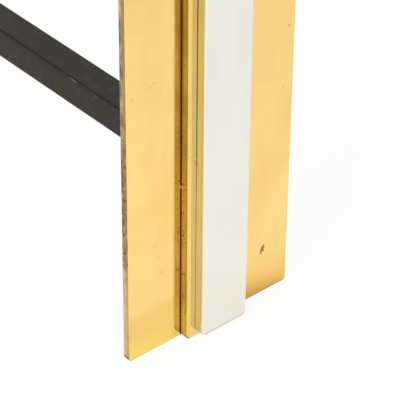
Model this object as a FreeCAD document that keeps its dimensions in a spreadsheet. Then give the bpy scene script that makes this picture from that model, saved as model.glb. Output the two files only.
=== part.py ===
"""A pair of andirons: layered brass and chrome fronts, each carried by a bent iron billet bar.

Millimetres, Z up. The fronts face -Y, the billet bars run back to +Y, and X runs across the pair.
The origin is on the floor, at the middle of the pair.
"""

import FreeCAD, Part
import os
import Sketcher

DOCUMENT = FreeCAD.newDocument("andirons")
SIDES = {"left": -1, "right": 1}
TOLERANCE = 1e-4
EQUAL_LEGS = 45

# Driving dimensions, one sheet row each: alias, millimetres and what the size is
DIMENSIONS = (
    ("spacing", 381.0, "centre of one andiron to centre of the other"),
    ("overall_depth", 482.6, "front of the chrome bar to the back of the rear leg"),
    ("plate_width", 120.4, "brass face plate"),
    ("plate_height", 457.2, "brass face plate, and the riser strip on it"),
    ("plate_thickness", 5.2, "brass face plate"),
    ("plate_corner_radius", 1.5, "plate's corners, seen from the front"),
    ("plate_edge_break", 0.4, "rounding round the plate's front and back"),
    ("strip_width", 44.45, "brass riser strip"),
    ("strip_thickness", 6.85, "brass riser strip"),
    ("strip_corner_radius", 2.0, "strip's corners, seen from the front"),
    ("strip_edge_radius", 1.8, "rounding round the strip's front"),
    ("strip_back_break", 0.7, "chamfer round the strip's back, which draws a line at the joint"),
    ("bar_width", 33.8, "chrome front bar"),
    ("bar_thickness", 6.35, "chrome front bar"),
    ("bar_end_inset", 3.6, "front bar's ends short of the strip's ends"),
    ("bar_corner_radius", 3.4, "front bar's corners, seen from the front"),
    ("bar_edge_radius", 0.9, "rounding round the front bar's front"),
    ("bar_back_break", 0.25, "chamfer round the front bar's back"),
    ("billet_size", 19.8, "square iron billet bar"),
    ("billet_corner_radius", 1.2, "rolled corners of the billet bar"),
    ("billet_underside", 97.0, "floor to the underside of the billet bar"),
    ("bend_radius", 12.7, "inside of the bend into the rear leg"),
    ("foot_break", 0.6, "chamfer round the rear leg's foot"),
    ("strap_thickness", 4.7625, "iron mounting strap"),
    ("strap_edge_break", 0.6, "rounding round the strap's back"),
    ("strap_shoulder", 6.35, "strap beyond the billet bar on each side"),
    ("strap_end_margin", 25.4, "strap above its upper screw"),
    ("weld_leg", 4.5, "fillet weld, on the billet bar and on the strap"),
    ("weld_toe", 0.4, "thickness of the weld where it runs out on the bar"),
    ("weld_clearance", 0.05, "weld to billet bar"),
    ("screw_rise", 50.0, "top of the billet bar to the strap's upper screw"),
    ("top_screw_inset", 38.1, "top of the plate to the highest screw"),
    ("screw_diameter", 4.83, "machine screws"),
    ("screw_tip_break", 0.5, "chamfer at a screw's tip"),
    ("screw_clearance", 0.3, "screw to plain hole or washer, on the diameter"),
    ("thread_clearance", 0.06, "screw to tapped hole, on the diameter"),
    ("tapped_floor", 1.2, "metal left in front of a tapped hole"),
    ("tip_clearance", 0.4, "screw's tip to the end of its tapped hole"),
    ("head_diameter", 9.3, "pan head"),
    ("head_height", 2.9, "pan head"),
    ("head_rounding", 1.3, "pan head's rim"),
    ("slot_width", 1.2, "driver slot"),
    ("slot_depth", 1.4, "driver slot"),
    ("lock_washer_diameter", 8.6, "split spring washer under a strap screw"),
    ("lock_washer_thickness", 1.2, "split spring washer"),
    ("lock_washer_slit", 0.9, "cut through the spring washer"),
    ("flat_washer_diameter", 12.7, "plain washer under an upper screw"),
    ("flat_washer_thickness", 1.2, "plain washer"),
)

# Lengths worked out from the driving dimensions, as expressions on the sheet
CHROME_BACK = "(-Sizes.overall_depth / 2 + Sizes.bar_thickness)"
PLATE_FRONT = f"({CHROME_BACK} + Sizes.strip_thickness)"
PLATE_BACK = f"({PLATE_FRONT} + Sizes.plate_thickness)"
STRAP_BACK = f"({PLATE_BACK} + Sizes.strap_thickness)"
STRAP_WIDTH = "(Sizes.billet_size + 2 * Sizes.strap_shoulder)"
BILLET_AXIS = "(Sizes.billet_underside + Sizes.billet_size / 2)"
BILLET_RUN = f"(Sizes.overall_depth / 2 - {STRAP_BACK} - Sizes.billet_size / 2)"
BEND_AXIS_RADIUS = "(Sizes.bend_radius + Sizes.billet_size / 2)"
BAR_HEIGHT = "(Sizes.plate_height - 2 * Sizes.bar_end_inset)"
TAPPED_DEPTH = "(Sizes.bar_thickness - Sizes.tapped_floor)"
PLAIN_HOLE = "(Sizes.screw_diameter + Sizes.screw_clearance)"
TAPPED_HOLE = "(Sizes.screw_diameter + Sizes.thread_clearance)"

# Heights of the four screws on an andiron's centre line, two through the strap and two above it
LOWER_STRAP_SCREW = "(Sizes.billet_underside / 2)"
UPPER_STRAP_SCREW = "(Sizes.billet_underside + Sizes.billet_size + Sizes.screw_rise)"
HIGHEST_SCREW = "(Sizes.plate_height - Sizes.top_screw_inset)"
MIDDLE_SCREW = f"(({UPPER_STRAP_SCREW} + {HIGHEST_SCREW}) / 2)"
STRAP_SCREWS = (LOWER_STRAP_SCREW, UPPER_STRAP_SCREW)
UPPER_SCREWS = (MIDDLE_SCREW, HIGHEST_SCREW)
ALL_SCREWS = STRAP_SCREWS + UPPER_SCREWS


def make_sheet():
    """The spreadsheet that every sub-part's sizes are bound to."""
    sheet = DOCUMENT.addObject("Spreadsheet::Sheet", "Sizes")
    for row, (alias, value, meaning) in enumerate(DIMENSIONS, start=1):
        sheet.set(f"A{row}", meaning)
        sheet.set(f"B{row}", str(value))
        sheet.setAlias(f"B{row}", alias)
    DOCUMENT.recompute()


def make_body(label, side, place_y, place_z="0"):
    """A body on one andiron's centre plane, at a given depth and height."""
    body = DOCUMENT.addObject("PartDesign::Body", label)
    body.Label = label
    body.setExpression("Placement.Base.x", f"{SIDES[side]} * Sizes.spacing / 2")
    body.setExpression("Placement.Base.y", place_y)
    body.setExpression("Placement.Base.z", place_z)
    return body


def make_sketch(body, name, role):
    """An empty sketch on one of the body's own origin planes."""
    sketch = body.newObject("Sketcher::SketchObject", f"{body.Name}_{name}")
    plane = next(item for item in body.Origin.OriginFeatures if item.Role == role)
    sketch.AttachmentSupport = [(plane, "")]
    sketch.MapMode = "FlatFace"
    return sketch


# The sketcher numbers its own axes -1 and -2, the ends of a line or arc 1 and 2, and a circle's centre 3
def level_axis():
    return -1


def upright_axis():
    return -2


def origin():
    return start(level_axis())


def start(line):
    return (line, 1)


def end(line):
    return (line, 2)


def centre(circle):
    return (circle, 3)


def tie(sketch, kind, *where):
    """A constraint on lines, which are plain numbers, and on points, which are pairs."""
    numbers = [number for item in where for number in (item if isinstance(item, tuple) else (item,))]
    return sketch.addConstraint(Sketcher.Constraint(kind, *numbers))


def dimension(sketch, name, kind, *where_and_value, size):
    """A named dimension of a sketch, bound to an expression."""
    index = tie(sketch, kind, *where_and_value)
    sketch.renameConstraint(index, name)
    sketch.setExpression(f"Constraints.{name}", size)


# Each outline starts from rough places, and its constraints and dimensions then settle it
def draw_outline(sketch, corners):
    """Straight lines from corner to corner and back to the first, joined at their ends."""
    points = [FreeCAD.Vector(x, y, 0) for x, y in corners]
    following = points[1:] + points[:1]
    lines = [sketch.addGeometry(Part.LineSegment(*ends), False) for ends in zip(points, following)]
    for line, next_line in zip(lines, lines[1:] + lines[:1]):
        tie(sketch, "Coincident", end(line), start(next_line))
    return lines


def draw_rectangle(sketch, width, height, base="0"):
    """A rectangle centred on the sketch's vertical axis, with its lower side at the given height."""
    half, low, high = 10.0, 5.0, 25.0
    corners = ((-half, low), (half, low), (half, high), (-half, high))
    bottom, right, top, left = draw_outline(sketch, corners)
    tie(sketch, "Symmetric", start(bottom), end(bottom), upright_axis())
    tie(sketch, "Horizontal", top)
    for upright in (right, left):
        tie(sketch, "Vertical", upright)
    dimension(sketch, "width", "DistanceX", start(bottom), end(bottom), 2 * half, size=width)
    dimension(sketch, "height", "DistanceY", start(right), end(right), high - low, size=height)
    if base == "0":
        tie(sketch, "PointOnObject", start(bottom), level_axis())
    else:
        dimension(sketch, "base", "DistanceY", origin(), start(bottom), low, size=base)


def draw_circle(sketch, height, radius):
    middle = FreeCAD.Vector(0, height, 0)
    return sketch.addGeometry(Part.Circle(middle, FreeCAD.Vector(0, 0, 1), radius), False)


def draw_circles(sketch, diameter, heights):
    """Circles of one diameter on the sketch's vertical axis, at the given heights."""
    step, radius = 20.0, 2.0
    for number, height in enumerate(heights, start=1):
        circle = draw_circle(sketch, step * number, radius)
        tie(sketch, "PointOnObject", centre(circle), upright_axis())
        place = ("DistanceY", origin(), centre(circle), step * number)
        dimension(sketch, f"height_{number}", *place, size=height)
        dimension(sketch, f"diameter_{number}", "Diameter", circle, 2 * radius, size=diameter)


def draw_ring(sketch, outer, inner):
    """Two circles round the sketch's origin."""
    for name, diameter, radius in (("outer", outer, 5.0), ("inner", inner, 2.5)):
        circle = draw_circle(sketch, 0, radius)
        tie(sketch, "Coincident", centre(circle), origin())
        dimension(sketch, name, "Diameter", circle, 2 * radius, size=diameter)


def pad(body, sketch, length, to_back):
    """Extrudes a sketch of the XZ plane towards the back (+Y) or the front (-Y)."""
    feature = body.newObject("PartDesign::Pad", f"{sketch.Name}_pad")
    feature.Profile = sketch
    feature.setExpression("Length", length)
    feature.Reversed = to_back
    DOCUMENT.recompute()
    return feature


def pocket(body, sketch, length=None, reverse=False, both_ways=False):
    """Cuts a sketch through everything, or to a length, and makes sure that it cut something."""
    before = body.Tip.Shape.Volume
    feature = body.newObject("PartDesign::Pocket", f"{sketch.Name}_pocket")
    feature.Profile = sketch
    if length is None:
        feature.Type = "ThroughAll"
    else:
        feature.setExpression("Length", length)
    feature.Midplane = both_ways
    feature.Reversed = reverse
    DOCUMENT.recompute()
    if feature.Shape.Volume > before - TOLERANCE:
        raise ValueError(f"{feature.Name} cuts nothing")
    return feature


def round_edges(body, name, radius, wanted):
    """Fillets the edges of the body's last feature that the test wants."""
    return dress(body, "PartDesign::Fillet", name, "Radius", radius, wanted)


def bevel_edges(body, name, size, wanted):
    """Chamfers the edges of the body's last feature that the test wants."""
    return dress(body, "PartDesign::Chamfer", name, "Size", size, wanted)


def dress(body, kind, name, setting, size, wanted):
    base = body.Tip
    edges = [f"Edge{i}" for i, edge in enumerate(base.Shape.Edges, start=1) if wanted(edge)]
    if not edges:
        raise ValueError(f"{body.Name} has no edge for {name}")
    feature = body.newObject(kind, f"{body.Name}_{name}")
    feature.Base = (base, edges)
    feature.setExpression(setting, size)
    DOCUMENT.recompute()
    return feature


def straight(edge):
    return isinstance(edge.Curve, Part.Line)


def circular(edge):
    return isinstance(edge.Curve, Part.Circle)


def runs_along_y(edge):
    """A straight edge along Y."""
    box = edge.BoundBox
    return straight(edge) and max(box.XLength, box.ZLength) < TOLERANCE


def lies_at_y(place):
    """A test for the edges that lie in the plane y = place."""

    def wanted(edge):
        box = edge.BoundBox
        return abs(box.YMin - place) < TOLERANCE and abs(box.YMax - place) < TOLERANCE

    return wanted


def size(alias):
    """The sheet's own value, for tests on finished geometry."""
    return float(DOCUMENT.Sizes.get(alias))


def face_plate(side):
    """Brass plate that stands on the floor behind the other layers of the front."""
    body = make_body(f"{side}_face_plate", side, PLATE_FRONT)
    outline = make_sketch(body, "outline", "XZ_Plane")
    draw_rectangle(outline, "Sizes.plate_width", "Sizes.plate_height")
    pad(body, outline, "Sizes.plate_thickness", to_back=True)
    round_edges(body, "corners", "Sizes.plate_corner_radius", runs_along_y)
    round_edges(body, "front_edges", "Sizes.plate_edge_break", lies_at_y(0))
    round_edges(body, "back_edges", "Sizes.plate_edge_break", lies_at_y(size("plate_thickness")))
    holes = make_sketch(body, "holes", "XZ_Plane")
    draw_circles(holes, PLAIN_HOLE, ALL_SCREWS)
    pocket(body, holes)
    return body


def riser_strip(side):
    """Brass strip on the front of the plate, with a chamfer that leaves a fine line at the joint."""
    body = make_body(f"{side}_riser_strip", side, PLATE_FRONT)
    outline = make_sketch(body, "outline", "XZ_Plane")
    draw_rectangle(outline, "Sizes.strip_width", "Sizes.plate_height")
    pad(body, outline, "Sizes.strip_thickness", to_back=False)
    round_edges(body, "corners", "Sizes.strip_corner_radius", runs_along_y)
    round_edges(body, "front_edges", "Sizes.strip_edge_radius", lies_at_y(-size("strip_thickness")))
    bevel_edges(body, "back_edges", "Sizes.strip_back_break", lies_at_y(0))
    holes = make_sketch(body, "holes", "XZ_Plane")
    draw_circles(holes, PLAIN_HOLE, ALL_SCREWS)
    pocket(body, holes, reverse=True)
    return body


def front_bar(side):
    """Chrome bar down the middle of the front, with softened edges and blind tapped holes in its back."""
    body = make_body(f"{side}_front_bar", side, CHROME_BACK, "Sizes.bar_end_inset")
    outline = make_sketch(body, "outline", "XZ_Plane")
    draw_rectangle(outline, "Sizes.bar_width", BAR_HEIGHT)
    pad(body, outline, "Sizes.bar_thickness", to_back=False)
    round_edges(body, "corners", "Sizes.bar_corner_radius", runs_along_y)
    round_edges(body, "front_edges", "Sizes.bar_edge_radius", lies_at_y(-size("bar_thickness")))
    bevel_edges(body, "back_edges", "Sizes.bar_back_break", lies_at_y(0))
    holes = make_sketch(body, "holes", "XZ_Plane")
    draw_circles(holes, TAPPED_HOLE, [f"{height} - Sizes.bar_end_inset" for height in ALL_SCREWS])
    pocket(body, holes, length=TAPPED_DEPTH, reverse=True)
    return body


def mounting_strap(side):
    """Flat iron strap with a round top, which ties the billet bar to the back of the plate."""
    body = make_body(f"{side}_mounting_strap", side, PLATE_BACK)
    outline = make_sketch(body, "outline", "XZ_Plane")
    draw_strap(outline)
    pad(body, outline, "Sizes.strap_thickness", to_back=True)
    round_edges(body, "back_edges", "Sizes.strap_edge_break", lies_at_y(size("strap_thickness")))
    holes = make_sketch(body, "holes", "XZ_Plane")
    draw_circles(holes, PLAIN_HOLE, STRAP_SCREWS)
    pocket(body, holes)
    return body


def draw_strap(sketch):
    """The strap's outline: a foot on the floor, two sides and a half-round top."""
    half, shoulder = 10.0, 80.0
    foot_left = FreeCAD.Vector(-half, 0, 0)
    foot_right = FreeCAD.Vector(half, 0, 0)
    top_right = FreeCAD.Vector(half, shoulder, 0)
    crown = FreeCAD.Vector(0, shoulder + half, 0)
    top_left = FreeCAD.Vector(-half, shoulder, 0)
    foot = sketch.addGeometry(Part.LineSegment(foot_left, foot_right), False)
    right = sketch.addGeometry(Part.LineSegment(foot_right, top_right), False)
    arc = sketch.addGeometry(Part.Arc(top_right, crown, top_left), False)
    left = sketch.addGeometry(Part.LineSegment(top_left, foot_left), False)
    tie(sketch, "Coincident", end(foot), start(right))
    tie(sketch, "Tangent", end(right), start(arc))
    tie(sketch, "Tangent", end(arc), start(left))
    tie(sketch, "Coincident", end(left), start(foot))
    for upright in (right, left):
        tie(sketch, "Vertical", upright)
    tie(sketch, "PointOnObject", start(foot), level_axis())
    tie(sketch, "Symmetric", start(foot), end(foot), origin())
    dimension(sketch, "width", "DistanceX", start(foot), end(foot), 2 * half, size=STRAP_WIDTH)
    rise = f"{UPPER_STRAP_SCREW} + Sizes.strap_end_margin - {STRAP_WIDTH} / 2"
    dimension(sketch, "shoulder", "DistanceY", start(right), end(right), shoulder, size=rise)


def billet_bar(side):
    """Square iron bar that the logs lie on, bent down at the back into a leg."""
    body = make_body(f"{side}_billet_bar", side, STRAP_BACK)
    section = make_sketch(body, "section", "XZ_Plane")
    draw_rectangle(section, "Sizes.billet_size", "Sizes.billet_size", base="Sizes.billet_underside")
    path = make_sketch(body, "path", "YZ_Plane")
    draw_billet_path(path)
    DOCUMENT.recompute()
    sweep = body.newObject("PartDesign::AdditivePipe", f"{body.Name}_sweep")
    sweep.Profile = section
    sweep.Spine = (path, ["Edge1", "Edge2", "Edge3"])
    DOCUMENT.recompute()

    def at_end(box):
        return box.YMax < TOLERANCE or box.ZMax < TOLERANCE

    def along_bar(edge):
        box = edge.BoundBox
        return box.XLength < TOLERANCE and not at_end(box)

    round_edges(body, "corners", "Sizes.billet_corner_radius", along_bar)
    bevel_edges(body, "foot", "Sizes.foot_break", lambda edge: edge.BoundBox.ZMax < TOLERANCE)
    return body


def draw_billet_path(sketch):
    """The bar's centre line: straight back from the strap, round the bend and down to the floor."""
    run, drop, bend = 100.0, 60.0, 15.0
    front = FreeCAD.Vector(0, drop, 0)
    bend_start = FreeCAD.Vector(run - bend, drop, 0)
    bend_centre = FreeCAD.Vector(run - bend, drop - bend, 0)
    bend_middle = bend_centre + FreeCAD.Vector(1, 1, 0).normalize() * bend
    bend_end = FreeCAD.Vector(run, drop - bend, 0)
    foot = FreeCAD.Vector(run, 0, 0)
    level = sketch.addGeometry(Part.LineSegment(front, bend_start), False)
    arc = sketch.addGeometry(Part.Arc(bend_start, bend_middle, bend_end), False)
    leg = sketch.addGeometry(Part.LineSegment(bend_end, foot), False)
    # An arc's own ends are numbered anticlockwise, so its second end meets the level run
    tie(sketch, "Tangent", end(level), end(arc))
    tie(sketch, "Tangent", start(arc), start(leg))
    tie(sketch, "Horizontal", level)
    tie(sketch, "Vertical", leg)
    tie(sketch, "PointOnObject", start(level), upright_axis())
    tie(sketch, "PointOnObject", end(leg), level_axis())
    dimension(sketch, "axis_height", "DistanceY", origin(), start(level), drop, size=BILLET_AXIS)
    dimension(sketch, "run", "DistanceX", origin(), end(leg), run, size=BILLET_RUN)
    dimension(sketch, "bend", "Radius", arc, bend, size=BEND_AXIS_RADIUS)


def bar_weld(side):
    """Fillet weld along the billet bar's sides and underside. The top is left clear for logs."""
    body = make_body(f"{side}_bar_weld", side, STRAP_BACK)
    root = "(Sizes.weld_leg + Sizes.weld_toe)"
    outline = make_sketch(body, "outline", "XZ_Plane")
    width = f"Sizes.billet_size + 2 * {root}"
    height = f"Sizes.billet_size + {root} - Sizes.billet_corner_radius"
    draw_rectangle(outline, width, height, base=f"Sizes.billet_underside - {root}")
    slope = pad(body, outline, "Sizes.weld_leg", to_back=True)
    slope.TaperAngle = -EQUAL_LEGS
    DOCUMENT.recompute()
    hole = make_sketch(body, "hole", "XZ_Plane")
    gap = "Sizes.weld_clearance"
    opening = f"Sizes.billet_size + 2 * {gap}"
    draw_rectangle(hole, opening, opening, base=f"Sizes.billet_underside - {gap}")
    pocket(body, hole)
    return body


def screws(label, side, seat, heights, grip):
    """Pan-head machine screws, one above the other, with their heads against the seat."""
    body = make_body(label, side, seat, heights[0])
    profile = make_sketch(body, "profile", "XY_Plane")
    draw_screw(profile, f"{grip} + {TAPPED_DEPTH} - Sizes.tip_clearance")
    turned = body.newObject("PartDesign::Revolution", f"{label}_turned")
    turned.Profile = profile
    turned.ReferenceAxis = (profile, ["V_Axis"])
    DOCUMENT.recompute()

    def head_rim(edge):
        return circular(edge) and abs(edge.BoundBox.YMin - size("head_height")) < TOLERANCE

    round_edges(body, "head_rim", "Sizes.head_rounding", head_rim)
    slot = make_sketch(body, "slot", "YZ_Plane")
    draw_slot(slot)
    pocket(body, slot, both_ways=True)
    repeat_upwards(body, heights)
    return body


def draw_screw(sketch, shank):
    """Half of a screw's outline, turned about the sketch's vertical axis. The head is above the origin."""
    tip, head, shank_half, head_half, chamfer = -20.0, 3.0, 2.5, 4.5, 0.5
    corners = (
        (0, tip),
        (shank_half - chamfer, tip),
        (shank_half, tip + chamfer),
        (shank_half, 0),
        (head_half, 0),
        (head_half, head),
        (0, head),
    )
    tip_face, bevel, side, seat, rim, top, axis = draw_outline(sketch, corners)
    for level in (tip_face, seat, top):
        tie(sketch, "Horizontal", level)
    for upright in (side, rim):
        tie(sketch, "Vertical", upright)
    tie(sketch, "PointOnObject", start(axis), upright_axis())
    tie(sketch, "PointOnObject", end(axis), upright_axis())
    tie(sketch, "PointOnObject", start(seat), level_axis())
    dimension(sketch, "shank", "DistanceY", start(tip_face), origin(), -tip, size=shank)
    halves = (
        ("shank_half", start(seat), shank_half, "Sizes.screw_diameter / 2"),
        ("head_half", end(seat), head_half, "Sizes.head_diameter / 2"),
    )
    for name, point, rough, half in halves:
        dimension(sketch, name, "DistanceX", origin(), point, rough, size=half)
    dimension(sketch, "head", "DistanceY", start(rim), end(rim), head, size="Sizes.head_height")
    for name, kind in (("break_x", "DistanceX"), ("break_y", "DistanceY")):
        dimension(sketch, name, kind, start(bevel), end(bevel), chamfer, size="Sizes.screw_tip_break")


def draw_slot(sketch):
    """The driver slot, seen along it: a rectangle that reaches down from the head's top."""
    floor, top, half = 1.5, 3.0, 0.6
    corners = ((floor, -half), (top, -half), (top, half), (floor, half))
    lower, head_top, upper, slot_floor = draw_outline(sketch, corners)
    tie(sketch, "Symmetric", start(head_top), end(head_top), level_axis())
    tie(sketch, "Vertical", slot_floor)
    for level in (lower, upper):
        tie(sketch, "Horizontal", level)
    across = ("DistanceY", start(head_top), end(head_top), 2 * half)
    dimension(sketch, "width", *across, size="Sizes.slot_width")
    dimension(sketch, "depth", "DistanceX", start(lower), end(lower), top - floor, size="Sizes.slot_depth")
    dimension(sketch, "top", "DistanceX", origin(), start(head_top), top, size="Sizes.head_height")


def repeat_upwards(body, heights):
    """Repeats the whole body from the first height to the last."""
    pattern = body.newObject("PartDesign::LinearPattern", f"{body.Name}_pattern")
    pattern.TransformMode = "Whole shape"
    upwards = next(item for item in body.Origin.OriginFeatures if item.Role == "Z_Axis")
    pattern.Direction = (upwards, [""])
    pattern.setExpression("Length", f"{heights[-1]} - {heights[0]}")
    pattern.Occurrences = len(heights)
    body.Tip = pattern
    DOCUMENT.recompute()


def lock_washers(side):
    """Split spring washers under the heads of the strap's screws."""
    body = make_body(f"{side}_lock_washers", side, STRAP_BACK, STRAP_SCREWS[0])
    ring = make_sketch(body, "ring", "XZ_Plane")
    draw_ring(ring, "Sizes.lock_washer_diameter", PLAIN_HOLE)
    pad(body, ring, "Sizes.lock_washer_thickness", to_back=True)
    slit = make_sketch(body, "slit", "XZ_Plane")
    draw_rectangle(slit, "Sizes.lock_washer_slit", "Sizes.lock_washer_diameter")
    pocket(body, slit)
    repeat_upwards(body, STRAP_SCREWS)
    return body


def flat_washers(side):
    """Plain washers that spread the upper screws' load on the back of the plate."""
    body = make_body(f"{side}_flat_washers", side, PLATE_BACK, UPPER_SCREWS[0])
    ring = make_sketch(body, "ring", "XZ_Plane")
    draw_ring(ring, "Sizes.flat_washer_diameter", PLAIN_HOLE)
    pad(body, ring, "Sizes.flat_washer_thickness", to_back=True)
    repeat_upwards(body, UPPER_SCREWS)
    return body


def strap_screws(side):
    """Screws through the strap, the plate and the strip into the front bar."""
    seat = f"{STRAP_BACK} + Sizes.lock_washer_thickness"
    layers = "Sizes.strap_thickness + Sizes.plate_thickness + Sizes.strip_thickness"
    grip = f"Sizes.lock_washer_thickness + {layers}"
    return screws(f"{side}_strap_screws", side, seat, STRAP_SCREWS, grip)


def upper_screws(side):
    """Screws through the plate and the strip into the front bar, above the strap."""
    seat = f"{PLATE_BACK} + Sizes.flat_washer_thickness"
    grip = "Sizes.flat_washer_thickness + Sizes.plate_thickness + Sizes.strip_thickness"
    return screws(f"{side}_upper_screws", side, seat, UPPER_SCREWS, grip)


SUBPARTS = (
    face_plate,
    riser_strip,
    front_bar,
    mounting_strap,
    billet_bar,
    bar_weld,
    strap_screws,
    lock_washers,
    upper_screws,
    flat_washers,
)


def check(bodies):
    """Stops before anything is written if an object failed or a shape is empty or broken."""
    for item in DOCUMENT.Objects:
        if "Invalid" in item.State or "Error" in item.State:
            raise ValueError(f"{item.Name} failed: {item.State}")
    for body in bodies:
        if body.Shape.isNull() or not body.Shape.isValid():
            raise ValueError(f"{body.Label} has no valid shape")


def main():
    make_sheet()
    bodies = [make(side) for side in SIDES for make in SUBPARTS]
    DOCUMENT.recompute()
    check(bodies)
    os.makedirs("parts", exist_ok=True)
    for body in bodies:
        body.Shape.exportStep(f"parts/{body.Label}.step")
        print(f"{body.Label}: {len(body.Shape.Solids)} solids, {body.Shape.Volume / 1000:.2f} cm3")


main()
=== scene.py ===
"""Looks, floor, light and camera for a pair of andirons. Metres, in the part's own frame."""

import math
from functools import reduce
from typing import NamedTuple

import bmesh
import bpy
from mathutils import Matrix, Vector


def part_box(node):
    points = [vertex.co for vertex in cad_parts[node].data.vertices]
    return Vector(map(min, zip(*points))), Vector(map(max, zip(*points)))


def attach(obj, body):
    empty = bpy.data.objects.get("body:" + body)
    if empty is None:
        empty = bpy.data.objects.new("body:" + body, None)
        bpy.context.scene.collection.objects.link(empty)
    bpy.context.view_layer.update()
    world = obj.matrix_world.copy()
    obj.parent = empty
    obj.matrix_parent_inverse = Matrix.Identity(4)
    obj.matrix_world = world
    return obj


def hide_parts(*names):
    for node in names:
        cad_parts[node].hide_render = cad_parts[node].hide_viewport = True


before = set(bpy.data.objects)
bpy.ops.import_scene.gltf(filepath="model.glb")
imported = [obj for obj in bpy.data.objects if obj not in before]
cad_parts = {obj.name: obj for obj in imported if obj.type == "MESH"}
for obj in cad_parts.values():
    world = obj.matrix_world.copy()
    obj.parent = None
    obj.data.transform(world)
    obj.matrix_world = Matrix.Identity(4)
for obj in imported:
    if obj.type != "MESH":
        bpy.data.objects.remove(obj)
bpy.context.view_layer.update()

SIDES = ("left", "right")
MM = 0.001

# Where the front of the photographed andiron is
plate_low, plate_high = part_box("left_face_plate")
strip_low, strip_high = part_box("left_riser_strip")
chrome_low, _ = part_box("left_front_bar")
bar_low, bar_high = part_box("left_billet_bar")
CENTRE_X = (plate_low.x + plate_high.x) / 2
PLATE_FRONT = plate_low.y
STRIP_FRONT = strip_low.y
STRIP_HALF = (strip_high.x - strip_low.x) / 2
CHROME_LEFT = chrome_low.x
CHROME_FOOT = chrome_low.z
BAR_SIDE = bar_low.x
BAR_TOP = bar_high.z

# Colours, linear
BRASS = (1.0, 0.715, 0.27, 1)
# Lacquer clouds, and also a painted reflection of the floor's shade low on the plate
BRASS_CLOUD_AND_SHADE = (0.91, 0.61, 0.18, 1)
# Painted reflections of the shaded floor at the plate's foot, on the right and on the left
BRASS_FOOT_REFLECTION = (0.93, 0.61, 0.11, 1)
BRASS_FOOT_LEFT_REFLECTION = (0.96, 0.76, 0.14, 1)
BRASS_STRIP = (0.885, 0.635, 0.21, 1)
BRASS_EDGE = (0.835, 0.585, 0.19, 1)
BRASS_EDGE_LOW = (0.93, 0.65, 0.215, 1)
BRASS_DULL = (0.50, 0.335, 0.12, 1)
BRASS_BACK = (0.60, 0.415, 0.155, 1)
BRASS_TARNISH = (0.33, 0.225, 0.085, 1)
BRASS_BROWN = (0.16, 0.085, 0.03, 1)
BRASS_SAWN = (0.36, 0.25, 0.075, 1)
BRASS_SAWN_LIGHT = (0.49, 0.36, 0.115, 1)
BRASS_SAWN_LOW = (0.84, 0.60, 0.14, 1)
BRASS_SAWN_FOOT = (0.80, 0.77, 0.16, 1)
PATINA_DARK = (0.225, 0.15, 0.08, 1)
PATINA_LIGHT = (0.67, 0.455, 0.25, 1)
PATINA_LOW = (0.67, 0.49, 0.265, 1)
PATINA_GOLD = (0.42, 0.245, 0.047, 1)
PATINA_GOLD_LOW = (0.60, 0.385, 0.10, 1)
PATINA_SPOT = (0.13, 0.075, 0.022, 1)
PATINA_PALE = (0.62, 0.47, 0.21, 1)
# Painted shade in the joint between plate and strip, redder low down
JOINT_SHADE = (0.28, 0.075, 0.002, 1)
JOINT_SHADE_HIGH = (0.21, 0.10, 0.004, 1)
# Dark olive: painted shade in the groove behind the front bar, and the bar's side darker near its foot
DARK_OLIVE = (0.08, 0.058, 0.002, 1)
SPECK = (0.45, 0.25, 0.02, 1)
DRY_POLISH = (0.50, 0.36, 0.24, 1)
BLEMISH = (0.22, 0.105, 0.03, 1)
RED_STAIN = (0.42, 0.15, 0.045, 1)
CHROME = (0.905, 0.905, 0.835, 1)
CHROME_LOW = (0.855, 0.85, 0.785, 1)
CHROME_SMEAR = (0.85, 0.85, 0.785, 1)
# A cream painted highlight on the bar's rounded edges
CHROME_EDGE_HIGHLIGHT = (0.94, 0.83, 0.61, 1)
CHROME_SIDE = (0.70, 0.69, 0.57, 1)
CHROME_SIDE_HIGH = (0.635, 0.625, 0.50, 1)
CHROME_SIDE_LOW = (0.675, 0.71, 0.62, 1)
# Painted reflections of the shaded floor on the bar's lower edges
CHROME_UNDER_SHADE = (0.58, 0.60, 0.58, 1)
CHROME_RIM_SHADE = (0.66, 0.67, 0.64, 1)
CHROME_STAIN = (0.26, 0.26, 0.12, 1)
IRON = (0.0135, 0.0115, 0.0045, 1)
IRON_EDGE = (0.003, 0.0025, 0.0015, 1)
IRON_WORN = (0.036, 0.034, 0.026, 1)
IRON_SCRATCH = (0.085, 0.083, 0.075, 1)
RUST = (0.12, 0.045, 0.016, 1)
STEEL = (0.42, 0.41, 0.39, 1)
STEEL_DULL = (0.24, 0.225, 0.20, 1)
WHITE = (1, 1, 1, 1)
FLOOR = (0.95, 0.95, 0.95, 1)


class Zone(NamedTuple):
    """Where along some measure a look starts and where it is full, and its share there."""

    start: float
    full: float
    share: float = 1.0


class Stretch(NamedTuple):
    """A look between two heights: where it comes in from below, where it goes out, and its share."""

    rise: Zone
    fall: Zone
    share: float


class Band(NamedTuple):
    """A look round one height, gone at a reach above and below it, and its share."""

    height: float
    reach: float
    share: float


class Texture(NamedTuple):
    """A noise, and the zone of its values that shows."""

    scale: float
    detail: float = 2.0
    stretch: tuple = None
    zone: Zone = None


class Spot(NamedTuple):
    """A mark round a point of the surface: half sizes, slant, raggedness of its edge, grain and share."""

    centre: Vector
    reach: tuple
    slant: float = 0.0
    ragged: float = 0.0
    grain: float = 900.0
    share: float = 1.0


def on_plate(across_mm, up_mm, ahead_mm=0.0):
    """A place on or ahead of the photographed plate's front, from its middle and from the floor."""
    return Vector((CENTRE_X + across_mm * MM, PLATE_FRONT - ahead_mm * MM, up_mm * MM))


def on_chrome(up_mm):
    """A place on the near side of the photographed front bar, where it meets the strip."""
    return Vector((CHROME_LEFT, STRIP_FRONT, up_mm * MM))


def on_bar(back_mm, down_mm):
    """A place on the near side of the photographed billet bar, from the plate's front and the bar's top."""
    return Vector((BAR_SIDE, PLATE_FRONT + back_mm * MM, BAR_TOP - down_mm * MM))


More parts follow.
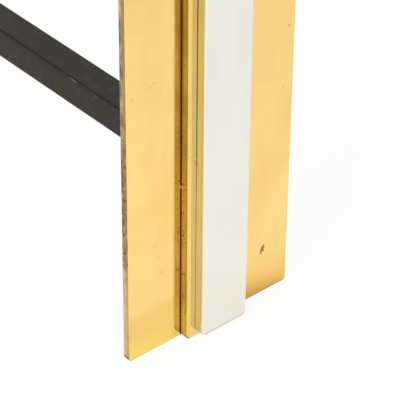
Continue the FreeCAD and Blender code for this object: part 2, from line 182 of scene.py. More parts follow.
def feed(tree, socket, value):
    """Links a socket to another, or sets a plain value on it."""
    if isinstance(value, bpy.types.NodeSocket):
        tree.links.new(value, socket)
    else:
        socket.default_value = value


# How much of a surface's normal points to the side, back or down
TURNS_SIDE = Zone(0.2, 0.6)
FACES_SIDE = Zone(0.88, 0.97)
FACES_BACK = Zone(0.55, 0.85)
TURNS_DOWN = Zone(-0.1, -0.5)
# Where the edge of a spot lies, as a share of its reach
SPOT_START = 1.0
SPOT_FULL = 0.55
# How much of a band's reach is at its full share
BAND_FULL = 1 / 3
BUMP_DEPTH = 0.0002
# The sockets of a mix node that are for colours, whose names are those of its other sockets too
MIX_SHARE = 0
MIX_FIRST = 6
MIX_SECOND = 7
MIX_RESULT = 2


class Paint:
    """A material while its nodes are laid out. Texture places are the part's own frame, in metres."""

    def __init__(self, name, **sockets):
        self.material = bpy.data.materials.new(name)
        self.material.use_nodes = True
        self.tree = self.material.node_tree
        self.shader = self.tree.nodes["Principled BSDF"]
        for socket, value in sockets.items():
            self.set(socket.replace("_", " "), value)
        coordinates = self.tree.nodes.new("ShaderNodeTexCoord")
        self.place = coordinates.outputs["Object"]
        self.across, self.along, self.up = self.parts(self.place)
        turn_x, turn_y, turn_z = self.parts(coordinates.outputs["Normal"])
        sideways = self.math("ABSOLUTE", turn_x)
        self.turns_side = self.ramp(sideways, TURNS_SIDE)
        self.faces_side = self.ramp(sideways, FACES_SIDE)
        self.faces_back = self.ramp(turn_y, FACES_BACK)
        self.turns_down = self.ramp(turn_z, TURNS_DOWN)

    def set(self, socket, value):
        """Gives one of the shader's own sockets its value."""
        feed(self.tree, self.shader.inputs[socket], value)

    def node(self, kind, inputs, **settings):
        node = self.tree.nodes.new(kind)
        for name, value in settings.items():
            setattr(node, name, value)
        for name, value in inputs.items():
            feed(self.tree, node.inputs[name], value)
        return node

    def parts(self, vector):
        return self.node("ShaderNodeSeparateXYZ", {"Vector": vector}).outputs

    def math(self, operation, *values):
        return self.node("ShaderNodeMath", dict(enumerate(values)), operation=operation).outputs[0]

    def times(self, *shares):
        """The product of masks and plain shares."""
        return reduce(lambda first, second: self.math("MULTIPLY", first, second), shares)

    def most(self, masks):
        """The strongest of some masks."""
        return reduce(lambda first, second: self.math("MAXIMUM", first, second), masks)

    def ramp(self, value, zone):
        """0 where the zone starts, its share where it is full, smooth between them."""
        inputs = {"Value": value, "From Min": zone.start, "From Max": zone.full, "To Max": zone.share}
        return self.node("ShaderNodeMapRange", inputs, interpolation_type="SMOOTHSTEP").outputs["Result"]

    def span(self, value, low, high):
        """A plain range from low, where the value is 0, to high, where it is 1."""
        inputs = {"Value": value, "To Min": low, "To Max": high}
        return self.node("ShaderNodeMapRange", inputs).outputs["Result"]

    def height(self, zone):
        """A ramp by height over the floor."""
        return self.ramp(self.up, zone)

    def depth(self, zone):
        """A ramp by depth, from the front of the part to its back."""
        return self.ramp(self.along, zone)

    def away(self, height):
        """Distance above or below a height."""
        return self.math("ABSOLUTE", self.math("SUBTRACT", self.up, height))

    def band(self, band):
        return self.ramp(self.away(band.height), Zone(band.reach, band.reach * BAND_FULL, band.share))

    def stretch(self, stretch):
        return self.times(self.height(stretch.rise), self.height(stretch.fall), stretch.share)

    def tint(self, colour, tint, *shares):
        """A colour with a tint mixed in, by the product of the shares."""
        inputs = {MIX_SHARE: self.times(*shares), MIX_FIRST: colour, MIX_SECOND: tint}
        return self.node("ShaderNodeMix", inputs, data_type="RGBA").outputs[MIX_RESULT]

    def noise(self, texture):
        place = self.place
        if texture.stretch:
            place = self.node("ShaderNodeMapping", {"Vector": place, "Scale": texture.stretch}).outputs[0]
        inputs = {"Vector": place, "Scale": texture.scale, "Detail": texture.detail}
        return self.node("ShaderNodeTexNoise", inputs).outputs["Fac"]

    def grain(self, texture):
        """The part of a noise that lies in its texture's zone."""
        return self.ramp(self.noise(texture), texture.zone)

    def swing(self, texture, amount):
        """Noise about zero, half an amount to either side."""
        return self.math("MULTIPLY_ADD", self.noise(texture), amount, -amount / 2)

    def spot(self, spot):
        """The share inside an ellipsoid round a point, 0 outside. Noise makes its edge ragged."""
        inputs = {
            "Vector": self.place,
            "Location": spot.centre,
            "Rotation": (0, spot.slant, 0),
            "Scale": spot.reach,
        }
        local = self.node("ShaderNodeMapping", inputs, vector_type="TEXTURE").outputs[0]
        distance = self.node("ShaderNodeVectorMath", {0: local}, operation="LENGTH").outputs["Value"]
        if spot.ragged:
            distance = self.math("ADD", distance, self.swing(Texture(spot.grain), spot.ragged))
        return self.ramp(distance, Zone(SPOT_START, SPOT_FULL, spot.share))

    def spots(self, spots):
        """The strongest of some spots."""
        return self.most([self.spot(spot) for spot in spots])

    def finish(self, colour, roughness, bump=None, strength=0.0):
        self.set("Base Color", colour)
        self.set("Roughness", roughness)
        if bump is not None:
            inputs = {"Height": bump, "Strength": strength, "Distance": BUMP_DEPTH}
            self.set("Normal", self.node("ShaderNodeBump", inputs).outputs["Normal"])
        return self.material


def from_middle(paint):
    """Distance across from the middle of whichever andiron this is."""
    middle = paint.math("MULTIPLY", paint.math("SIGN", paint.across), -CENTRE_X)
    return paint.math("SUBTRACT", paint.across, middle)


# Polished brass
CLOUDS = Texture(26.0, 3.0, (1, 1, 0.7), Zone(0.42, 0.68, share=0.55))
WIPING = Texture(60.0, 4.0, (1.6, 1, 0.25), Zone(0.5, 0.8, share=0.25))
POLISH_SPECKS = Texture(520.0, 1.0, zone=Zone(0.79, 0.83, share=0.25))


def polish(paint):
    """Polished brass with faint clouds and wiping marks in its lacquer, and a few dark specks."""
    clouded = paint.math("ADD", paint.grain(CLOUDS), paint.grain(WIPING))
    colour = paint.tint(BRASS, BRASS_CLOUD_AND_SHADE, clouded)
    return paint.tint(colour, BRASS_BROWN, paint.grain(POLISH_SPECKS))


# Painted shade in the joint between plate and strip, the one spot of old polish that fills it, and the
# painted shade line along a foot
JOINT_SHADE_RISE = Zone(0.10, 0.14)
DRY_SPOT = Spot(on_plate(-22.3, 105.1, 0.5), (0.0010, 0.0012, 0.0013), ragged=0.3)
FOOT_LINE = Zone(0.0013, 0.0004)


def joint_shade(paint):
    """Painted shade in the joint, redder low down."""
    return paint.tint(JOINT_SHADE, JOINT_SHADE_HIGH, paint.height(JOINT_SHADE_RISE))


def fill_joint(paint, colour):
    """The one place where the joint between plate and strip is filled with dry polish, which is no metal."""
    dry = paint.spot(DRY_SPOT)
    paint.set("Metallic", paint.span(dry, low=1.0, high=0.0))
    return paint.tint(colour, DRY_POLISH, dry)


def foot_shade_line(paint, colour, share):
    """A thin dark line of painted shade along the lower edge, where the metal meets the floor."""
    return paint.tint(colour, BRASS_BROWN, paint.height(FOOT_LINE), share)


# The plate's front: how far right, and painted reflections of the floor's shade: low on the right, a dimmer
# stretch above the foot, and the foot
RIGHTWARD = Zone(-0.03, 0.03)
PLATE_LOW = Zone(0.036, 0.016)
PLATE_WAVES = Texture(45.0, 3.0)
WAVE_HEIGHT = 0.010
PLATE_DIM_REFLECTION = Zone(0.0395, 0.0325)
PLATE_DIM_FOOT = Zone(0.004, 0.018)
PLATE_FOOT_REFLECTION = Zone(0.020, 0.001, share=0.5)
# Marks on the front, with the depth to which each reaches
MARK_DEPTH = 0.001
BLEMISH_SHARE = 0.85
BLEMISH_SPOTS = (
    Spot(on_plate(40.8, 32.1), (0.0016, MARK_DEPTH, 0.0038), math.radians(22), ragged=0.35),
    Spot(on_plate(41.3, 30.6), (0.0012, MARK_DEPTH, 0.0010), math.radians(-15), ragged=0.4),
    Spot(on_plate(39.5, 29.5), (0.0007, MARK_DEPTH, 0.0012), ragged=0.4),
)
RED_SPOT = Spot(on_plate(55.8, 178.5), (0.0007, MARK_DEPTH, 0.0010), ragged=0.4, share=0.6)
SPECK_SHARE = 0.17
# Across and up in millimetres, and half size
SPECKS = (
    (-56.3, 175.7, 0.0016),
    (-43.6, 178.6, 0.0014),
    (-40.9, 180.6, 0.0013),
    (52.8, 139.8, 0.0013),
    (-41.3, 72.8, 0.0012),
    (-38.9, 65.0, 0.0011),
    (-36.3, 52.8, 0.0013),
)
# The fine line of painted shade in the joint, on the plate, by distance from the strip, and only on the
# plate's face
JOINT_LINE = Zone(0.0004, -0.0001)
PLATE_FACE = Zone(PLATE_FRONT + 0.0004, PLATE_FRONT + 0.0001)


def plate_front(paint, rightward):
    """The plate's polished front, with painted reflections of the floor's shade that make it dimmer and
    yellower towards its foot, and its marks.
    """
    colour = polish(paint)
    # Painted reflection of the floor's shade, low on the plate's right
    right_shade = paint.span(rightward, low=0.24, high=0.5)
    colour = paint.tint(colour, BRASS_CLOUD_AND_SHADE, paint.height(PLATE_LOW), right_shade)
    # Painted reflection of a shadow's edge on the floor: a dimmer wavy stretch above the foot, on the left
    wavy = paint.math("MULTIPLY_ADD", paint.noise(PLATE_WAVES), WAVE_HEIGHT, paint.up)
    leftward = paint.span(rightward, low=0.7, high=0.0)
    above_foot = paint.span(paint.height(PLATE_DIM_FOOT), low=0.35, high=1.0)
    colour = paint.tint(colour, BRASS_CLOUD_AND_SHADE, paint.ramp(wavy, PLATE_DIM_REFLECTION), leftward, above_foot)
    # Painted reflection of the shaded floor at the foot: yellower on the left, dimmer on the right
    foot = paint.tint(BRASS_FOOT_LEFT_REFLECTION, BRASS_FOOT_REFLECTION, rightward)
    colour = paint.tint(colour, foot, paint.height(PLATE_FOOT_REFLECTION))
    specks = [Spot(on_plate(across, up), (size, MARK_DEPTH, size)) for across, up, size in SPECKS]
    colour = paint.tint(colour, SPECK, paint.spots(specks), SPECK_SHARE)
    colour = paint.tint(colour, BLEMISH, paint.spots(BLEMISH_SPOTS), BLEMISH_SHARE)
    colour = paint.tint(colour, RED_STAIN, paint.spot(RED_SPOT))
    # A line of painted shade in the joint along the strip
    from_strip = paint.math("SUBTRACT", paint.math("ABSOLUTE", from_middle(paint)), STRIP_HALF)
    line = paint.ramp(from_strip, JOINT_LINE)
    return paint.tint(colour, joint_shade(paint), line, paint.depth(PLATE_FACE))


# The plate's sawn edges: streaks, mottle and patches make the patina lighter or darker
PLATE_STREAKS = Texture(150.0, 5.0, (1, 1.6, 0.6))
MOTTLE = Texture(430.0, 3.0, (1, 1.3, 0.8))
MOTTLE_SWING = 0.6
SIDE_WORKED = Zone(0.165, 0.135)
SIDE_LOWER = Zone(0.079, 0.047)
LOWER_LIGHT = 0.38
HEATED = Zone(0.04, 0.012, share=0.11)
PATCHES = (
    Band(0.198, 0.009, -0.10),
    Band(0.184, 0.010, 0.08),
    Band(0.165, 0.009, -0.06),
    Band(0.118, 0.012, -0.10),
)
PATINA_RANGE = Zone(0.37, 0.79)
RUBBED = Zone(PLATE_FRONT + 0.0034, PLATE_FRONT + 0.0016)
BLOTCHES = Texture(300.0, 3.0, (1, 1.2, 0.8), Zone(0.36, 0.62))
PALE_SPOTS = Texture(340.0, 3.0, (1, 0.9, 0.7), Zone(0.55, 0.64))
DARK_SPOTS = Texture(400.0, 4.0, (1, 1, 0.75), Zone(0.52, 0.64))
SIDE_FOOT_SHADE = Zone(0.0034, 0.0018, share=0.85)


def plate_sides(paint, streaks):
    """The plate's browned edges: darker round the billet bar, golden towards the front, spotted higher up,
    with painted shade along the foot.
    """
    worked = paint.height(SIDE_WORKED)
    lower = paint.height(SIDE_LOWER)
    mottle = paint.times(paint.swing(MOTTLE, MOTTLE_SWING), paint.span(worked, low=0.4, high=1.0))
    lighter = paint.math("MULTIPLY_ADD", lower, LOWER_LIGHT, paint.math("ADD", streaks, mottle))
    lighter = paint.math("SUBTRACT", lighter, paint.ramp(paint.away(BAR_TOP), HEATED))
    for patch in PATCHES:
        lighter = paint.math("ADD", lighter, paint.band(patch))
    light = paint.tint(PATINA_LIGHT, PATINA_LOW, lower)
    patina = paint.tint(PATINA_DARK, light, paint.ramp(lighter, PATINA_RANGE))
    gold = paint.tint(PATINA_GOLD, PATINA_GOLD_LOW, lower)
    blotched = paint.span(paint.grain(BLOTCHES), low=0.5, high=0.95)
    patina = paint.tint(patina, gold, paint.depth(RUBBED), blotched)
    pale_higher = paint.span(lower, low=0.5, high=0.1)
    patina = paint.tint(patina, PATINA_PALE, paint.grain(PALE_SPOTS), pale_higher, worked)
    dark_higher = paint.span(lower, low=0.75, high=0.1)
    dark_worked = paint.span(worked, low=0.25, high=1.0)
    patina = paint.tint(patina, PATINA_SPOT, paint.grain(DARK_SPOTS), dark_higher, dark_worked)
    # Painted shade along the foot
    return paint.tint(patina, BRASS_BROWN, paint.height(SIDE_FOOT_SHADE))


# The plate's back
BRUSHING = Texture(900.0, 3.0, (1, 1, 0.012), Zone(0.3, 0.7))
TARNISH = Texture(14.0, 5.0, zone=Zone(0.35, 0.75, share=0.5))


def plate_back(paint):
    """The plate's back: dull, brushed upright and unevenly tarnished."""
    dull = paint.tint(BRASS_BACK, BRASS_DULL, paint.grain(BRUSHING))
    return paint.tint(dull, BRASS_TARNISH, paint.grain(TARNISH))


def plate_brass():
    """The face plate: polished front, browned sawn edges, duller brushed back."""
    paint = Paint("brass_plate")
    rightward = paint.ramp(from_middle(paint), RIGHTWARD)
    streaks = paint.noise(PLATE_STREAKS)
    colour = fill_joint(paint, plate_front(paint, rightward))
    colour = paint.tint(colour, plate_sides(paint, streaks), paint.faces_side)
    colour = paint.tint(colour, plate_back(paint), paint.faces_back)
    # A painted shade line along the foot, stronger to the right
    colour = foot_shade_line(paint, colour, paint.span(rightward, low=0.12, high=0.6))
    aged = paint.most([paint.faces_side, paint.faces_back])
    return paint.finish(colour, paint.span(aged, low=0.12, high=0.40), streaks, strength=0.04)


# The strip's front: its polish is more even than the plate's, and its edges are darker higher up
STRIP_EVEN = 0.65
STRIP_HIGH = Zone(0.115, 0.20)
EDGE_LOW = Zone(0.165, 0.075)
EDGE_WIDTH = Zone(0.0022, 0.0013)


def strip_front(paint):
    """The strip's polished front, with its darker rounded edges."""
    colour = paint.tint(polish(paint), BRASS, STRIP_EVEN)
    colour = paint.tint(colour, BRASS_STRIP, paint.height(STRIP_HIGH))
    edge = paint.tint(BRASS_EDGE, BRASS_EDGE_LOW, paint.height(EDGE_LOW))
    from_edge = paint.math("SUBTRACT", STRIP_HALF, paint.math("ABSOLUTE", from_middle(paint)))
    return paint.tint(colour, edge, paint.ramp(from_edge, EDGE_WIDTH))


# The strip's sawn sides
SAWING = Texture(80.0, 4.0, (1, 1.2, 0.2), Zone(0.3, 0.7))
SAWN_LOW = Zone(0.14, 0.08, share=0.42)
SAWN_DULLER = Stretch(Zone(0.022, 0.031), Zone(0.056, 0.043), 0.35)
SAWN_GREENER = Stretch(Zone(0.002, 0.008), Zone(0.036, 0.014), 0.5)
SAWN_STAINS = (Band(0.199, 0.013, 0.22), Band(0.161, 0.011, 0.16))
PITS = Texture(640.0, 2.0, zone=Zone(0.63, 0.67, share=0.85))
MORE_PITS = Stretch(Zone(0.060, 0.070), Zone(0.116, 0.106), 0.045)
STRIP_HIGHER = Zone(0.10, 0.16)
NEAR_JOINT = Zone(PLATE_FRONT - 0.0034, PLATE_FRONT - 0.0006)
NEAR_EDGE = Zone(STRIP_FRONT + 0.0030, STRIP_FRONT + 0.0016, share=0.22)
NEAR_EDGE_LOW = Zone(0.17, 0.13)
# Painted shade along the foot
SAWN_FOOT_SHADE = Zone(0.0030, 0.0010, share=0.8)


def strip_sides(paint, streaks):
    """The strip's darker sawn sides: stained, pitted, browner by the joint and the edge, with painted shade
    along the foot.
    """
    side = paint.tint(BRASS_SAWN, BRASS_SAWN_LIGHT, paint.ramp(streaks, SAWING.zone))
    side = paint.tint(side, BRASS_SAWN_LOW, paint.height(SAWN_LOW))
    side = paint.tint(side, BRASS_SAWN, paint.stretch(SAWN_DULLER))
    side = paint.tint(side, BRASS_SAWN_FOOT, paint.stretch(SAWN_GREENER))
    for stain in SAWN_STAINS:
        side = paint.tint(side, BRASS_BROWN, paint.band(stain))
    pits = paint.math("ADD", paint.noise(PITS), paint.stretch(MORE_PITS))
    side = paint.tint(side, BRASS_BROWN, paint.ramp(pits, PITS.zone))
    higher = paint.span(paint.height(STRIP_HIGHER), low=0.08, high=0.35)
    side = paint.tint(side, BRASS_BROWN, paint.depth(NEAR_JOINT), higher)
    side = paint.tint(side, BRASS_BROWN, paint.depth(NEAR_EDGE), paint.height(NEAR_EDGE_LOW))
    # Painted shade along the foot
    return paint.tint(side, BRASS_BROWN, paint.height(SAWN_FOOT_SHADE))


# The groove at the strip's back: its painted shade reaches further from the plate higher up
GROOVE_LOW_REACH = 0.0010
GROOVE_HIGH_REACH = 0.0013
GROOVE_WIDEST = Zone(0.165, 0.195, share=0.0004)
GROOVE_EDGE = Zone(1.0, 0.65)


def strip_groove(paint):
    """How far the painted shade in the groove covers the strip's side."""
    reach = paint.span(paint.height(STRIP_HIGHER), GROOVE_LOW_REACH, GROOVE_HIGH_REACH)
    reach = paint.math("ADD", reach, paint.height(GROOVE_WIDEST))
    from_plate = paint.math("SUBTRACT", PLATE_FRONT, paint.along)
    return paint.ramp(paint.math("DIVIDE", from_plate, reach), GROOVE_EDGE)


# Where the strip's side begins behind its rounded edge, and a spot of painted shade at its foot and a nick by
# the joint
BEHIND_EDGE = Zone(STRIP_FRONT + 0.0012, STRIP_FRONT + 0.0016)
FOOT_SHADE_AND_NICK_SHARE = 0.75
FOOT_SHADE_AND_NICK = (
    # Painted shade at the foot of the strip's side
    Spot(on_plate(-21.6, 1.2, 4.8), (0.0020, 0.0024, 0.0016), ragged=0.6),
    Spot(on_plate(-22.2, 108.0, 1.7), (0.0010, 0.0013, 0.0007), ragged=0.4),
)
STRIP_FOOT_SHADE_SHARE = 0.4


def strip_brass():
    """The riser strip: polished front, darker sawn sides with pits, painted shade in the groove at its back
    and along its foot.
    """
    paint = Paint("brass_strip")
    streaks = paint.noise(SAWING)
    side = strip_sides(paint, streaks)
    colour = paint.tint(strip_front(paint), side, paint.faces_side, paint.depth(BEHIND_EDGE))
    # Painted shade in the groove between strip and plate
    colour = paint.tint(colour, joint_shade(paint), strip_groove(paint))
    colour = fill_joint(paint, colour)
    # Painted shade at the strip's foot, and a nick by the joint
    colour = paint.tint(colour, BRASS_BROWN, paint.spots(FOOT_SHADE_AND_NICK), FOOT_SHADE_AND_NICK_SHARE)
    # A painted shade line along the foot
    colour = foot_shade_line(paint, colour, STRIP_FOOT_SHADE_SHARE)
    return paint.finish(colour, paint.span(paint.faces_side, low=0.12, high=0.24), streaks, strength=0.03)


# The front bar
SMEARS = Texture(30.0, 4.0, (1.3, 1, 0.35), Zone(0.4, 0.75))
CHROME_LOWER = Zone(0.17, 0.07)
CHROME_HIGHER = Zone(0.195, 0.222)
CHROME_MIDDLE = Stretch(Zone(0.095, 0.125), Zone(0.19, 0.165), 0.5)
CHROME_SIDE_FOOT = Zone(CHROME_FOOT + 0.0042, CHROME_FOOT + 0.0024, share=0.15)
# Where the painted shade line along the bar's lower edge lies
CHROME_LOWER_EDGE = Zone(CHROME_FOOT + 0.0024, CHROME_FOOT + 0.0011)
CHROME_PITS = Texture(600.0, 1.0, zone=Zone(0.80, 0.84, share=0.3))
# Where the painted shade in the groove behind the bar lies, and where it rises
CHROME_GROOVE = Zone(STRIP_FRONT - 0.0006, STRIP_FRONT - 0.0003)
CHROME_GROOVE_RISE = Zone(0.08, 0.15)
CHROME_STAINS = (
    Spot(on_chrome(122.3), (0.0010, 0.0028, 0.0022), ragged=0.5, share=0.32),
    Spot(on_chrome(127.5), (0.0010, 0.0018, 0.0014), ragged=0.5, share=0.22),
)


def bar_chrome():
    """The front bar: bright plating with faint smears, a painted highlight on its rounded edges, a little
    greyer on its sides, painted shade along its back and on its lower edges.
    """
    paint = Paint("chrome_bar", Metallic=1.0)
    smears = paint.grain(SMEARS)
    lower = paint.height(CHROME_LOWER)
    colour = paint.tint(CHROME, CHROME_SMEAR, smears)
    colour = paint.tint(colour, CHROME_LOW, lower)
    # A cream painted highlight on the rounded edges
    colour = paint.tint(colour, CHROME_EDGE_HIGHLIGHT, paint.turns_side)
    side = paint.tint(CHROME_SIDE, CHROME_SIDE_LOW, lower)
    darker = paint.most([paint.height(CHROME_HIGHER), paint.stretch(CHROME_MIDDLE)])
    side = paint.tint(side, CHROME_SIDE_HIGH, darker)
    # The side darker near its foot
    side = paint.tint(side, DARK_OLIVE, paint.height(CHROME_SIDE_FOOT))
    colour = paint.tint(colour, side, paint.faces_side)
    # Painted reflections of the shaded floor on the lower edges
    colour = paint.tint(colour, CHROME_UNDER_SHADE, paint.turns_down)
    colour = paint.tint(colour, CHROME_RIM_SHADE, paint.height(CHROME_LOWER_EDGE))
    colour = paint.tint(colour, STEEL_DULL, paint.grain(CHROME_PITS))
    # Painted shade in the groove where the bar meets the strip, fuller higher up
    filled = paint.span(paint.height(CHROME_GROOVE_RISE), low=0.45, high=0.9)
    colour = paint.tint(colour, DARK_OLIVE, paint.depth(CHROME_GROOVE), filled)
    for stain in CHROME_STAINS:
        colour = paint.tint(colour, CHROME_STAIN, paint.spot(stain))
    return paint.finish(colour, paint.span(smears, low=0.09, high=0.16))


# The black iron
IRON_GRAIN = Texture(1400.0, 3.0)
ROLLING = Texture(120.0, 4.0, (1, 0.12, 1), Zone(0.5, 0.8, share=0.2))
CORNERS = Zone(0.52, 0.60, share=0.5)
WEAR = Texture(160.0, 3.0, zone=Zone(0.52, 0.66))
BELOW_TOP = Zone(0.006, 0.001, share=0.5)
RUSTING = Texture(140.0, 5.0, zone=Zone(0.70, 0.78, share=0.5))
SCRATCH_GRAIN = 700.0
SCRATCH_RAGGED = 0.7
# Place, half sizes, share and tint of the marks on the bar's side
BAR_MARKS = (
    (on_bar(111.5, 1.3), (0.002, 0.0052, 0.0007), 0.8, IRON_SCRATCH),
    (on_bar(90.5, 2.4), (0.002, 0.0022, 0.0008), 0.45, IRON_SCRATCH),
    (on_bar(74.0, 2.8), (0.002, 0.0018, 0.0009), 0.4, RUST),
)


def black_iron():
    """Satin black over rolled iron, with a fine grain, worn corners, a few rust spots and scratches."""
    paint = Paint("iron_black", Metallic=0.0, Specular_IOR_Level=0.18)
    grain = paint.noise(IRON_GRAIN)
    rolling = paint.noise(ROLLING)
    corners = paint.ramp(paint.node("ShaderNodeNewGeometry", {}).outputs["Pointiness"], CORNERS)
    colour = paint.tint(IRON, IRON_WORN, corners, paint.grain(WEAR))
    colour = paint.tint(colour, IRON_WORN, paint.ramp(rolling, ROLLING.zone))
    near_top = paint.ramp(paint.math("SUBTRACT", BAR_TOP, paint.up), BELOW_TOP)
    colour = paint.tint(colour, IRON_EDGE, near_top, paint.turns_side)
    colour = paint.tint(colour, RUST, paint.grain(RUSTING))
    for place, reach, share, tint in BAR_MARKS:
        mark = Spot(place, reach, 0.0, SCRATCH_RAGGED, SCRATCH_GRAIN, share)
        colour = paint.tint(colour, tint, paint.spot(mark))
    roughness = paint.span(grain, low=0.38, high=0.52)
    return paint.finish(colour, roughness, paint.math("ADD", grain, rolling), strength=0.12)


DULLING = Texture(480.0, 4.0, zone=Zone(0.35, 0.7))


def plain_steel():
    """Screws and washers: plain steel, dulled unevenly."""
    paint = Paint("steel_plain", Metallic=1.0)
    dulling = paint.noise(DULLING)
    colour = paint.tint(STEEL, STEEL_DULL, paint.ramp(dulling, DULLING.zone))
    return paint.finish(colour, paint.span(dulling, low=0.22, high=0.45), dulling, strength=0.05)


def dress(materials):
    """Gives each node of the part its material."""
    for side in SIDES:
        for name, material in materials.items():
            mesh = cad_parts[f"{side}_{name}"].data
            mesh.materials.clear()
            mesh.materials.append(material)


def new_object(name, mesh, material):
    """A scene object made from a bmesh, which is freed."""
    data = bpy.data.meshes.new(name)
    mesh.to_mesh(data)
    mesh.free()
    data.materials.append(material)
    made = bpy.data.objects.new(name, data)
    bpy.context.scene.collection.objects.link(made)
    return made


# The weld bead: radius of its root round the bar's corners, and how finely it is cut up
BEAD_CORNER = 0.0012
BEAD_STATIONS = 150
BEAD_STEPS = 9
# How far into its swell it begins, the reach of its face and what its two toes reach further, in legs
BEAD_END = 0.08
BEAD_FACE = 0.80
BEAD_TOES = 0.20
# Its ripples: depth as a share of the reach, pitch, and how far their middle lags behind, in radians
RIPPLE = 0.05
RIPPLE_PITCH = 0.0021
RIPPLE_LAG = 1.6


def weld_bead(side, material):
    """A rippled bead under the billet bar and up its two sides, in the place of the plain weld."""
    low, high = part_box(f"{side}_bar_weld")
    billet_low, billet_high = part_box(f"{side}_billet_bar")
    half = (billet_high.x - billet_low.x) / 2
    underside = low.z + (high.x - low.x) / 2 - half
    leg = high.y - low.y
    base = Vector(((low.x + high.x) / 2, low.y, 0))
    back = Vector((0, 1, 0))

    # The root runs down one side, round the two lower corners and up the other side
    drop = high.z - underside - BEAD_CORNER
    bend = BEAD_CORNER * math.pi / 2
    total = 2 * (drop + bend + half - BEAD_CORNER)

    def root(travel):
        """Root point and outward direction at a distance along the weld, whose halves are mirrored."""
        far = travel > total / 2
        travel = min(travel, total - travel)
        if travel < drop:
            out = Vector((-1, 0, 0))
            point = Vector((-half, 0, high.z - travel))
        elif travel < drop + bend:
            turn = (travel - drop) / BEAD_CORNER
            out = Vector((-math.cos(turn), 0, -math.sin(turn)))
            point = Vector((BEAD_CORNER - half, 0, underside + BEAD_CORNER)) + BEAD_CORNER * out
        else:
            out = Vector((0, 0, -1))
            point = Vector((BEAD_CORNER - half + travel - drop - bend, 0, underside))
        if far:
            out.x = -out.x
            point.x = -point.x
        return base + point, out

    mesh = bmesh.new()
    rings = []
    for station in range(BEAD_STATIONS + 1):
        travel = total * station / BEAD_STATIONS
        point, out = root(travel)
        from_end = min(travel, total - travel) / leg
        swell = math.sqrt(max(0.0, 1 - (1 - min(1.0, from_end + BEAD_END)) ** 2))
        phase = 2 * math.pi * travel / RIPPLE_PITCH
        ring = [mesh.verts.new(point)]
        for step in range(BEAD_STEPS + 1):
            angle = 0.5 * math.pi * step / BEAD_STEPS
            bulge = math.sin(2 * angle)
            crown = BEAD_FACE + BEAD_TOES * abs(math.cos(2 * angle))
            wave = 1 - RIPPLE * bulge * (1 + math.sin(phase - RIPPLE_LAG * bulge))
            reach = leg * swell * crown * wave
            ring.append(mesh.verts.new(point + reach * (math.cos(angle) * out + math.sin(angle) * back)))
        rings.append(ring)
    for first, second in zip(rings, rings[1:]):
        for i in range(len(first)):
            j = (i + 1) % len(first)
            mesh.faces.new((first[i], first[j], second[j], second[i]))
    mesh.faces.new(rings[0])
    mesh.faces.new(list(reversed(rings[-1])))
    bmesh.ops.recalc_face_normals(mesh, faces=mesh.faces)
    for face in mesh.faces:
        face.smooth = True
    bead = new_object(f"{side}_weld_bead", mesh, material)
    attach(bead, f"{side}_andiron")
    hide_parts(f"{side}_bar_weld")


# Levels at which light and the rays that show the surroundings meet the floor and the world
FLOOR_REACH = 9.0
FLOOR_CELLS = 6
FLOOR_LIT = 0.0
FLOOR_SHOWN = {"Glossy": 0.2, "Transmission": 0.2, "Camera": 0.93}
WORLD_LIGHT = 0.55
WORLD_SHOWN = {"Glossy": 1.0, "Transmission": 1.0, "Camera": 1.0}


def by_ray(tree, level, shown):
    """A level for light in general, and others for rays that show the surroundings."""
    path = tree.nodes.new("ShaderNodeLightPath")
    for ray, ray_level in shown.items():
        choose = tree.nodes.new("ShaderNodeMix")
        feed(tree, choose.inputs["Factor"], path.outputs[f"Is {ray} Ray"])
        feed(tree, choose.inputs["A"], level)
        feed(tree, choose.inputs["B"], ray_level)
        level = choose.outputs["Result"]
    return level


def white_floor():
    """Matt white for light, and nearly plain white where the floor itself is seen, with a faint shadow."""
    material = bpy.data.materials.new("white_floor")
    material.use_nodes = True
    tree = material.node_tree
    tree.nodes.remove(tree.nodes["Principled BSDF"])
    matt = tree.nodes.new("ShaderNodeBsdfDiffuse")
    matt.inputs["Color"].default_value = FLOOR
    glow = tree.nodes.new("ShaderNodeEmission")
    glow.inputs["Color"].default_value = WHITE
    blend = tree.nodes.new("ShaderNodeMixShader")
    tree.links.new(by_ray(tree, FLOOR_LIT, FLOOR_SHOWN), blend.inputs[0])
    tree.links.new(matt.outputs[0], blend.inputs[1])
    tree.links.new(glow.outputs[0], blend.inputs[2])
    tree.links.new(blend.outputs[0], tree.nodes["Material Output"].inputs["Surface"])
    return material


def lay_floor():
    """A plain white floor."""
    mesh = bmesh.new()
    bmesh.ops.create_grid(mesh, x_segments=FLOOR_CELLS, y_segments=FLOOR_CELLS, size=FLOOR_REACH)
    floor = new_object("floor", mesh, white_floor())


def light_world():
    """A white surround that gives part of the light."""
    world = bpy.data.worlds.new("studio")
    bpy.context.scene.world = world
    world.use_nodes = True
    tree = world.node_tree
    background = tree.nodes["Background"]
    background.inputs["Color"].default_value = WHITE
    tree.links.new(by_ray(tree, WORLD_LIGHT, WORLD_SHOWN), background.inputs["Strength"])


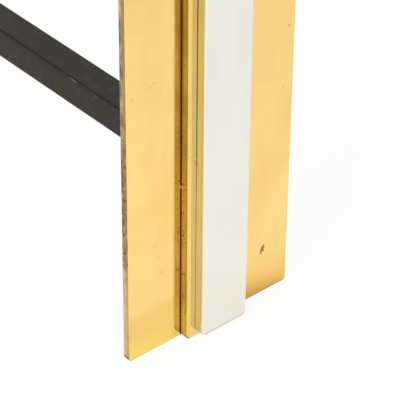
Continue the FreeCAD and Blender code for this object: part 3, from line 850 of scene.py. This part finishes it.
def soft_lamp(name, place, target, size, power):
    """A large soft area lamp that isn't itself seen."""
    data = bpy.data.lights.new(name, "AREA")
    data.shape = "DISK"
    data.size = size
    data.energy = power
    lamp = bpy.data.objects.new(name, data)
    lamp.location = place
    lamp.rotation_euler = (Vector(target) - Vector(place)).to_track_quat("-Z", "Y").to_euler()
    lamp.visible_camera = False
    lamp.visible_glossy = False
    bpy.context.scene.collection.objects.link(lamp)


# The camera: angles in degrees, the point it looks at, and its distance from that
AZIMUTH = 41.12
ELEVATION = 35.586
ROLL = 0.597
AIM = on_plate(-4.618, 85.977, -4.009)
DISTANCE = 1.16665
SENSOR_MM = 36.0
LENS_MM = 186.77
CLIP_NEAR = 0.05
CLIP_FAR = 50.0


def set_camera():
    """The photograph's view: from the left and above, on the lower part of the left andiron's front."""
    azimuth, elevation, roll = (math.radians(angle) for angle in (AZIMUTH, ELEVATION, ROLL))
    level_ahead = Vector((math.sin(azimuth), math.cos(azimuth), 0))
    ahead = math.cos(elevation) * level_ahead - math.sin(elevation) * Vector((0, 0, 1))
    level_right = Vector((math.cos(azimuth), -math.sin(azimuth), 0))
    level_up = level_right.cross(ahead)
    right = math.cos(roll) * level_right + math.sin(roll) * level_up
    up = math.cos(roll) * level_up - math.sin(roll) * level_right
    data = bpy.data.cameras.new("camera")
    data.sensor_width = SENSOR_MM
    data.lens = LENS_MM
    data.clip_start = CLIP_NEAR
    data.clip_end = CLIP_FAR
    camera = bpy.data.objects.new("camera", data)
    turn = Matrix((right, up, -ahead)).transposed().to_4x4()
    camera.matrix_world = Matrix.Translation(AIM - DISTANCE * ahead) @ turn
    bpy.context.scene.collection.objects.link(camera)
    bpy.context.scene.camera = camera


def main():
    bpy.context.scene.view_settings.view_transform = "Standard"
    iron = black_iron()
    steel = plain_steel()
    dress(
        {
            "face_plate": plate_brass(),
            "riser_strip": strip_brass(),
            "front_bar": bar_chrome(),
            "mounting_strap": iron,
            "billet_bar": iron,
            "bar_weld": iron,
            "strap_screws": steel,
            "lock_washers": steel,
            "upper_screws": steel,
            "flat_washers": steel,
        }
    )
    for side in SIDES:
        weld_bead(side, iron)
    lay_floor()
    light_world()
    soft_lamp("key", place=(-2.3, -0.75, 1.6), target=(-0.1, -0.2, 0.0), size=1.3, power=57.0)
    soft_lamp("fill", place=(1.2, 1.6, 1.9), target=(0, 0, 0.2), size=2.0, power=12.0)
    set_camera()


main()
